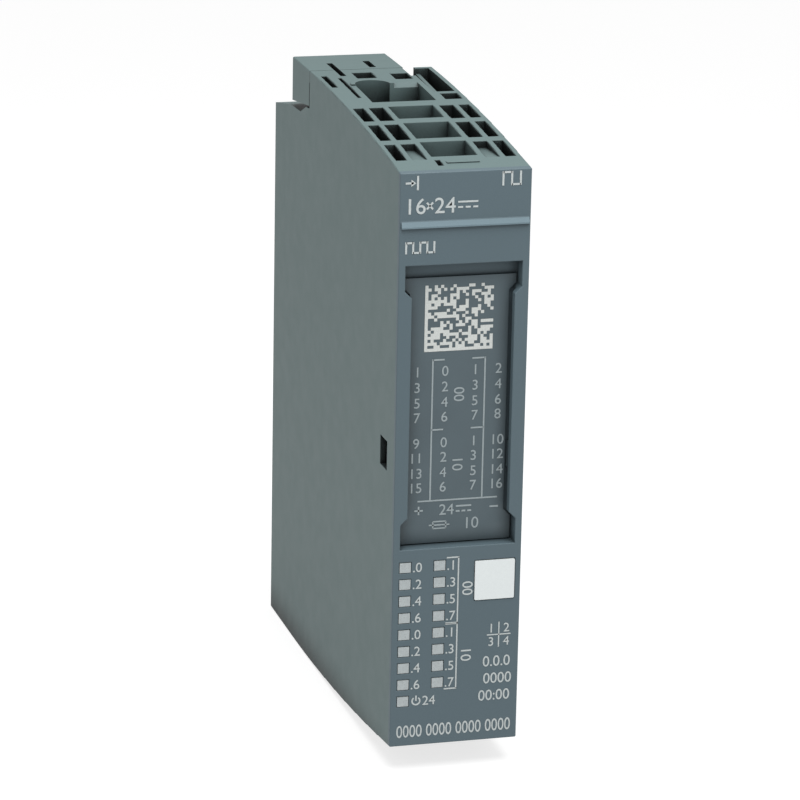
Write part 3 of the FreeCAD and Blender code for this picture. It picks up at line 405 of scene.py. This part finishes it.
# ---- print --------------------------------------------------------------------------------
class Print:
    """Thin raised print on one plane of the front, collected into one mesh."""

    def __init__(self, name, plane, finish):
        self.name = name
        self.plane = plane
        self.finish_name = finish
        self.mesh = bmesh.new()

    def add_outline(self, points):
        """Closed outline of (x, z) points, seen from the front."""
        faces = []
        for out in (-PRINT_SINK, PRINT_HEIGHT):
            corners = [self.mesh.verts.new(front_place(x, z, self.plane, out)) for x, z in points]
            faces.append(corners)
        back, front = faces
        self.mesh.faces.new(back[::-1])
        self.mesh.faces.new(front)
        for index in range(len(points)):
            after = (index + 1) % len(points)
            self.mesh.faces.new((back[index], back[after], front[after], front[index]))

    def add_bar(self, x, z):
        """Bar between the pairs x and z."""
        self.add_outline([(x[0], z[0]), (x[1], z[0]), (x[1], z[1]), (x[0], z[1])])

    def add_stroke(self, start, end, width):
        """Straight stroke between two points."""
        run = Vector(end) - Vector(start)
        side = Vector((-run.y, run.x)).normalized() * width / 2
        corners = [Vector(start) - side, Vector(end) - side, Vector(end) + side, Vector(start) + side]
        self.add_outline([tuple(corner) for corner in corners])

    def add_ring(self, centre, radius, width, gap=0.0, steps=28):
        """Ring about a centre, open at its top over gap radians."""
        start = math.pi / 2 + gap / 2
        sweep = 2 * math.pi - gap
        for index in range(steps):
            angles = [start + sweep * (index + end) / steps for end in (0, 1)]
            points = [(radius - width / 2, angles[0]), (radius + width / 2, angles[0]),
                      (radius + width / 2, angles[1]), (radius - width / 2, angles[1])]
            self.add_outline([(centre[0] + r * math.cos(a), centre[1] + r * math.sin(a)) for r, a in points])

    def add_digits(self, text, centre, height, turn=0.0, squeeze=1.0):
        """Digits about a centre, of a given height in millimetres."""
        curve = bpy.data.curves.new("digits", "FONT")
        curve.body = text
        curve.align_x = "CENTER"
        curve.offset = DIGIT_WEIGHT
        curve.extrude = 0.5
        writer = bpy.data.objects.new("digits", curve)
        bpy.context.collection.objects.link(writer)
        bpy.context.view_layer.update()
        letters = writer.evaluated_get(bpy.context.evaluated_depsgraph_get()).to_mesh()
        size = height / DIGIT_CAP
        turned = Matrix.Rotation(turn, 2)
        thickness = PRINT_SINK + PRINT_HEIGHT
        for vertex in letters.vertices:
            x, z = turned @ Vector((vertex.co.x * size * squeeze, (vertex.co.y - DIGIT_CAP / 2) * size))
            out = (vertex.co.z + 0.5) * thickness - PRINT_SINK
            vertex.co = front_place(centre[0] + x, centre[1] + z, self.plane, out)
        self.mesh.from_mesh(letters)
        writer.to_mesh_clear()
        bpy.data.objects.remove(writer)
        bpy.data.curves.remove(curve)

    def finish(self):
        bmesh.ops.remove_doubles(self.mesh, verts=self.mesh.verts, dist=0.0001 * MM)
        bmesh.ops.recalc_face_normals(self.mesh, faces=self.mesh.faces)
        mesh = bpy.data.meshes.new(self.name)
        self.mesh.to_mesh(mesh)
        self.mesh.free()
        mesh.materials.append(FINISHES[self.finish_name])
        piece = bpy.data.objects.new(self.name, mesh)
        bpy.context.collection.objects.link(piece)
        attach(piece, MAIN_BODY)
        return piece


def direct_current_sign(sheet, x, z, width):
    """Straight line above three dashes."""
    stroke = 0.2
    sheet.add_bar((x, x + width), (z + 0.2, z + 0.2 + stroke))
    dash = width / 4
    for index in range(3):
        left = x + index * (width - dash) / 2
        sheet.add_bar((left, left + dash), (z - 0.4, z - 0.4 + stroke))


def pulse_sign(sheet, x, z, height, periods):
    """Square pulse train between the pair x, standing on z."""
    stroke = 0.22
    step = (x[1] - x[0]) / (2 * periods)
    for index in range(2 * periods):
        left = x[0] + index * step
        level = z + height - stroke if index % 2 == 0 else z
        sheet.add_bar((left, left + step), (level, level + stroke))
        sheet.add_bar((left - stroke / 2, left + stroke / 2), (z, z + height))
    sheet.add_bar((x[1] - stroke / 2, x[1] + stroke / 2), (z, z + height))


def input_sign(sheet, x, z, height):
    """Arrow that points into a bar."""
    stroke = 0.22
    middle = z + height / 2
    sheet.add_bar((x[1] - stroke, x[1]), (z, z + height))
    sheet.add_bar((x[0], x[1] - 0.6), (middle - stroke / 2, middle + stroke / 2))
    sheet.add_outline([(x[1] - 0.85, middle - 0.4), (x[1] - 0.3, middle), (x[1] - 0.85, middle + 0.4)])


def title_print():
    """Upper part of the face: kind of module, channels and supply as digits and signs."""
    sheet = Print("title_print", FACE, "print_ink")
    input_sign(sheet, (-6.9, -5.4), 67.95, 1.6)
    pulse_sign(sheet, (4.2, 6.2), 68.05, 1.6, 1)
    sheet.add_digits("16", (-5.75, 66.15), 1.75)
    sheet.add_stroke((-4.45, 65.75), (-3.75, 66.5), 0.22)
    sheet.add_stroke((-4.45, 66.5), (-3.75, 65.75), 0.22)
    sheet.add_digits("24", (-2.35, 66.15), 1.75)
    direct_current_sign(sheet, -0.9, 66.15, 2.3)
    pulse_sign(sheet, (-6.7, -3.5), 60.8, 1.35, 2)
    return sheet.finish()


def light_print():
    """Channel numbers, brackets and signs beside the light windows."""
    sheet = Print("light_print", FACE, "print_ink")
    for row in range(8):
        z = 24.5 - 2.0 * row
        sheet.add_digits("." + str(2 * (row % 4)), (-4.65, z), 1.1)
        sheet.add_digits("." + str(2 * (row % 4) + 1), (-0.65, z), 1.1)
    for byte, top in enumerate((25.4, 17.5)):
        bottom = top - 7.8
        sheet.add_bar((0.07, 0.23), (bottom, top))
        for z in (bottom, top):
            sheet.add_bar((-1.25, 0.23), (z - 0.08, z + 0.08))
        sheet.add_digits("0" + str(byte), (1.25, top - 3.8), 1.2, turn=math.radians(90))
    sheet.add_ring((-4.5, 8.5), 0.45, 0.18, gap=1.3)
    sheet.add_bar((-4.59, -4.41), (8.5, 9.15))
    sheet.add_digits("24", (-3.0, 8.5), 1.1)
    return sheet.finish()


def corner_print():
    """Lower right part of the face and the bottom row: plain digits around a cross."""
    sheet = Print("corner_print", FACE, "print_ink")
    sheet.add_bar((5.03, 5.17), (14.3, 17.3))
    sheet.add_bar((3.7, 6.5), (15.73, 15.87))
    for digit, x, z in (("1", 4.2, 16.6), ("2", 6.0, 16.6), ("3", 4.2, 15.0), ("4", 6.0, 15.0)):
        sheet.add_digits(digit, (x, z), 1.05)
    for text, x, z in (("0.0.0", 4.9, 12.65), ("0000", 5.05, 10.6), ("00:00", 4.7, 8.55)):
        sheet.add_digits(text, (x, z), 1.25, squeeze=0.95)
    sheet.add_digits("0000 0000 0000 0000", (0.0, 4.9), 1.45, squeeze=0.74)
    return sheet.finish()


def fuse_sign(sheet, x, z):
    """Wire through a small box."""
    stroke = 0.16
    sheet.add_bar(around(x, 2.4), around(z, stroke))
    for edge in (-0.4, 0.4):
        sheet.add_bar(around(x, 1.5), around(z + edge, stroke))
    for edge in (-0.75, 0.75):
        sheet.add_bar(around(x + edge, stroke), around(z, 0.8))


def label_print():
    """Terminal numbers, brackets and supply signs on the label."""
    sheet = Print("label_print", LABEL, "label_ink")
    line = 0.18
    rows = ((46.81, 45.01, 43.21, 41.51), (38.51, 36.81, 35.01, 33.31))
    for byte, heights in enumerate(rows):
        for index, z in enumerate(heights):
            channel = 2 * index
            terminal = 8 * byte + channel + 1
            columns = ((-4.66, terminal), (-1.46, channel), (2.04, channel + 1), (4.74, terminal + 1))
            for x, number in columns:
                sheet.add_digits(str(number), (x, z), 1.15)
    for x, tick in ((-2.91, -1.56), (3.14, 1.64)):
        sheet.add_bar(around(x, line), (31.81, 48.21))
        for z in (48.11, 40.01):
            sheet.add_bar((min(x, tick), max(x, tick)), around(z, line))
    sheet.add_bar((-4.36, 4.94), around(31.71, line))
    for byte, z in enumerate((44.01, 35.91)):
        sheet.add_digits("0" + str(byte), (0.19, z), 1.2, turn=math.radians(90))
    supply = 30.61
    sheet.add_bar(around(-4.21, 1.0), around(supply, 0.2))
    sheet.add_bar(around(-4.21, 0.2), around(supply, 1.0))
    sheet.add_bar(around(4.59, 1.0), around(supply, 0.2))
    sheet.add_digits("24", (-0.96, supply), 1.25)
    direct_current_sign(sheet, 0.14, supply, 1.8)
    fuse_sign(sheet, -1.76, 28.81)
    sheet.add_digits("10", (1.94, 28.86), 1.3)
    return sheet.finish()


def code_print():
    """Square pattern of random cells inside a solid left and lower border. It encodes nothing."""
    sheet = Print("code_print", LABEL, "code_ink")
    cells = 22
    x, z = -3.96, 49.1
    size = 7.9 / cells
    height = 7.6 / cells
    draw = random.Random(15)
    sheet.add_bar((x, x + size), (z, z + cells * height))
    sheet.add_bar((x + size, x + cells * size), (z, z + height))
    for column in range(1, cells):
        for row in range(1, cells):
            if draw.random() < 0.5:
                left = x + column * size
                low = z + row * height
                sheet.add_bar((left, left + size), (low, low + height))
    return sheet.finish()


# ---- stage --------------------------------------------------------------------------------
def floor():
    """Plain pale sheet under the module."""
    half = FLOOR_HALF
    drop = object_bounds()[0][2] - FLOOR_GAP
    mesh = bpy.data.meshes.new("floor")
    corners = [(-half, -half, drop), (half, -half, drop), (half, half, drop), (-half, half, drop)]
    mesh.from_pydata(corners, [], [(0, 1, 2, 3)])
    nodes = Nodes("floor_paper", srgb(160, 160, 160), 0.9)
    nodes.tint(nodes.ramp(nodes.noise(40.0), 0.99, 1.0))
    nodes.shader.inputs["Emission Color"].default_value = (1, 1, 1, 1)
    rays = nodes.tree.nodes.new("ShaderNodeLightPath")
    extra = nodes.math("MULTIPLY", rays.outputs["Is Camera Ray"], FLOOR_GLOW[1] - FLOOR_GLOW[0])
    nodes.link(nodes.math("ADD", extra, FLOOR_GLOW[0]), nodes.shader.inputs["Emission Strength"])
    mesh.materials.append(nodes.material)
    sheet = bpy.data.objects.new("floor", mesh)
    bpy.context.collection.objects.link(sheet)
    sheet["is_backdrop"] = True


def area_light(name, place, size, power, target=(0, -0.03, 0)):
    """Soft square light that looks at the module."""
    lamp = bpy.data.lights.new(name, "AREA")
    lamp.size = size
    lamp.energy = power
    light = bpy.data.objects.new(name, lamp)
    light.location = place
    light.rotation_euler = (Vector(target) - Vector(place)).to_track_quat("-Z", "Y").to_euler()
    bpy.context.collection.objects.link(light)


def studio():
    """White surroundings that light the module evenly, and a large soft light above its front."""
    world = bpy.data.worlds.new("studio")
    world.use_nodes = True
    tree = world.node_tree
    seen = tree.nodes["Background"]
    seen.inputs["Color"].default_value = (1, 1, 1, 1)
    lighting = tree.nodes.new("ShaderNodeBackground")
    lighting.inputs["Color"].default_value = (1, 1, 1, 1)
    lighting.inputs["Strength"].default_value = SKY_STRENGTH
    rays = tree.nodes.new("ShaderNodeLightPath")
    choice = tree.nodes.new("ShaderNodeMixShader")
    tree.links.new(rays.outputs["Is Camera Ray"], choice.inputs["Fac"])
    tree.links.new(lighting.outputs["Background"], choice.inputs[1])
    tree.links.new(seen.outputs["Background"], choice.inputs[2])
    tree.links.new(choice.outputs["Shader"], tree.nodes["World Output"].inputs["Surface"])
    bpy.context.scene.world = world
    area_light("key", KEY_PLACE, KEY_SIZE, KEY_POWER)


def camera():
    """Pinhole camera that looks at the module from its front left and slightly above."""
    turn, tilt, roll = CAMERA_TURN, CAMERA_TILT, CAMERA_ROLL
    forward = Vector((math.sin(turn) * math.cos(tilt), math.cos(turn) * math.cos(tilt), -math.sin(tilt)))
    level = Vector((math.cos(turn), -math.sin(turn), 0))
    upright = level.cross(forward)
    right = math.cos(roll) * level + math.sin(roll) * upright
    up = math.cos(roll) * upright - math.sin(roll) * level
    face_middle = Vector((0, FACE, 0))
    lens = bpy.data.cameras.new("camera")
    lens.lens = CAMERA_LENS
    lens.clip_start = 10 * MM
    lens.clip_end = 20.0
    viewer = bpy.data.objects.new("camera", lens)
    place = face_middle - CAMERA_SHIFT[0] * right - CAMERA_SHIFT[1] * up - CAMERA_DISTANCE * forward
    axes = Matrix((right, up, -forward)).transposed().to_4x4()
    viewer.matrix_world = Matrix.Translation(place) @ axes
    bpy.context.collection.objects.link(viewer)
    bpy.context.scene.camera = viewer


finish_cad_nodes()
title_print()
light_print()
corner_print()
label_print()
code_print()
floor()
studio()
camera()
bpy.context.scene.view_settings.view_transform = "Standard"
